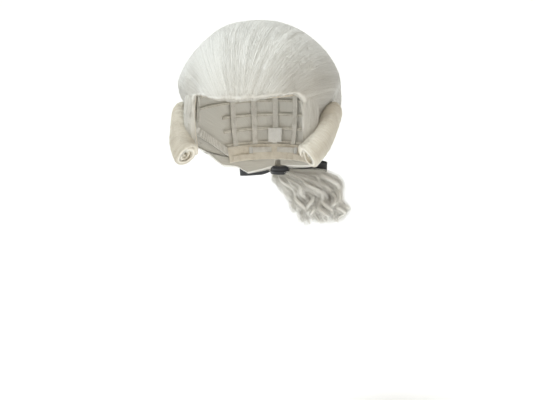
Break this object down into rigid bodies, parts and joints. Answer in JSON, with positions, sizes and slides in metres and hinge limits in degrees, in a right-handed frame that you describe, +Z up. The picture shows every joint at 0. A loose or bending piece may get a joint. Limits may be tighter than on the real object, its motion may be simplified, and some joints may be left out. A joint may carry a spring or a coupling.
{
  "type": "costume wig",
  "caption": "White swept-back costume wig with one rolled curl at each side, a low curly tail tied with a ribbon bow at the nape, and an open elastic cap inside.",
  "frame": {"origin": "midway between the wearer's ears, on the middle plane of the head that the cap is worn on", "axes": "+Z up through the crown, -Y out of the face opening, +X towards the wearer's left ear"},
  "size_m": [0.1848, 0.2547, 0.2523],
  "materials": {
    "white_fibre": "satin",
    "cap_net": "matte",
    "cap_tape": "matte",
    "lining": "matte",
    "weft": "matte",
    "elastic": "matte",
    "label": "matte",
    "ribbon": "satin",
    "stay": "matte",
    "hook": "gloss"
  },
  "bodies": {
    "cap": {"crown_net": "cap_net", "front_band": "cap_tape", "forehead_lining": "lining", "nape_band": "cap_tape", "care_label": "label", "back_ribbon_1": "cap_tape", "back_ribbon_2": "cap_tape", "back_ribbon_3": "cap_tape", "back_ribbon_4": "cap_tape", "back_ribbon_5": "cap_tape", "weft_row_1": "weft", "weft_row_2": "weft", "weft_row_3": "weft", "weft_row_4": "weft", "weft_row_5": "weft", "weft_row_6": "weft", "weft_row_7": "weft", "crown_weft_1": "weft", "crown_weft_2": "weft", "front_weft": "weft", "crown_hair": "white_fibre", "front_hair": "white_fibre", "left_back_hair": "white_fibre", "right_back_hair": "white_fibre", "left_ear_tab": "cap_tape", "left_tab_stay": "stay", "left_ear_elastic": "cap_tape", "left_side_ribbon": "cap_tape", "left_eyelet_tape": "elastic", "left_temple_hair": "white_fibre", "left_side_hair": "white_fibre", "right_ear_tab": "cap_tape", "right_tab_stay": "stay", "right_ear_elastic": "cap_tape", "right_side_ribbon": "cap_tape", "right_eyelet_tape": "elastic", "right_temple_hair": "white_fibre", "right_side_hair": "white_fibre"},
    "left_roll": {"left_roll": "white_fibre"},
    "right_roll": {"right_roll": "white_fibre"},
    "tie": {"tail_gather": "white_fibre", "tail_elastic": "elastic", "ribbon_wrap": "ribbon", "ribbon_knot": "ribbon", "left_ribbon_loop": "ribbon", "right_ribbon_loop": "ribbon"},
    "tail": {"tail_lock_1": "white_fibre", "tail_lock_2": "white_fibre", "tail_lock_3": "white_fibre", "tail_lock_4": "white_fibre", "tail_lock_5": "white_fibre"},
    "ribbon_tails": {"left_ribbon_tail": "ribbon", "right_ribbon_tail": "ribbon"},
    "left_adjuster": {"left_adjuster_strap": "elastic", "left_adjuster_hook": "hook"},
    "right_adjuster": {"right_adjuster_strap": "elastic", "right_adjuster_hook": "hook"}
  },
  "joints": [
    {"name": "left_roll_lift", "type": "hinge", "parent": "cap", "child": "left_roll", "pos_m": [0.0725, -0.043, 0.0272], "axis": [-0.211, -0.8438, -0.4934], "range_deg": [0, 20], "stiffness_Nm_per_rad": 0.03},
    {"name": "right_roll_lift", "type": "hinge", "parent": "cap", "child": "right_roll", "pos_m": [-0.0725, -0.043, 0.0272], "axis": [-0.211, 0.8438, 0.4934], "range_deg": [0, 20], "stiffness_Nm_per_rad": 0.03},
    {"name": "tail_lift", "type": "hinge", "parent": "cap", "child": "tie", "pos_m": [0.006, 0.094, -0.037], "axis": [1, 0, 0], "range_deg": [0, 35]},
    {"name": "tail_sway", "type": "hinge", "parent": "tie", "child": "tail", "pos_m": [0.006, 0.097, -0.048], "axis": [0, 1, 0], "range_deg": [-6, 42], "stiffness_Nm_per_rad": 0.06, "springref_deg": -4.01},
    {"name": "ribbon_sway", "type": "hinge", "parent": "tie", "child": "ribbon_tails", "pos_m": [0.006, 0.1125, -0.0425], "axis": [0, 1, 0], "range_deg": [-6, 42]},
    {"name": "left_adjuster_slide", "type": "hinge", "parent": "cap", "child": "left_adjuster", "pos_m": [0, 0.0467, -0.018], "axis": [0, 0, -1], "range_deg": [0, 14]},
    {"name": "right_adjuster_slide", "type": "hinge", "parent": "cap", "child": "right_adjuster", "pos_m": [0, 0.0467, -0.018], "axis": [0, 0, 1], "range_deg": [0, 14]}
  ],
  "couplings": [
    {"joint": "ribbon_sway", "follows": "tail_sway", "ratio": 1}
  ]
}
